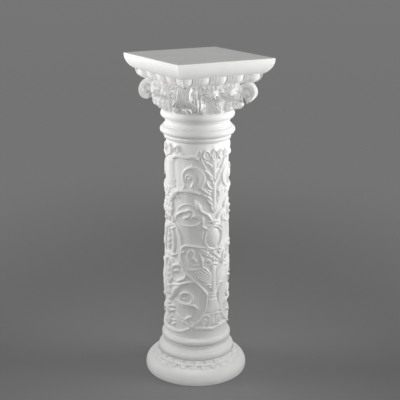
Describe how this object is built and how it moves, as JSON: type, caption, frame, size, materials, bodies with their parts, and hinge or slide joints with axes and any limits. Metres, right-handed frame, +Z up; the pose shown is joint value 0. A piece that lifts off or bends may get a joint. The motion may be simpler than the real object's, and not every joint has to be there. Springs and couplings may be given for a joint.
{
  "type": "column pedestal",
  "caption": "Carved column pedestal: round leafy base, shaft with scrolling foliage, capital with corner volutes, square top to stand a vase or bust on.",
  "frame": {"origin": "centre of the round underside, on the surface that the pedestal stands on", "axes": "+Z up along the column's axis; the sides of the square top lie along X and Y; the vase candelabra of the shaft face -Y and +Y"},
  "size_m": [0.327, 0.327, 1],
  "materials": {
    "plaster": "smooth matte white cast plaster"
  },
  "bodies": {
    "root": {"base": "plaster", "shaft": "plaster", "capital": "plaster"}
  },
  "joints": []
}
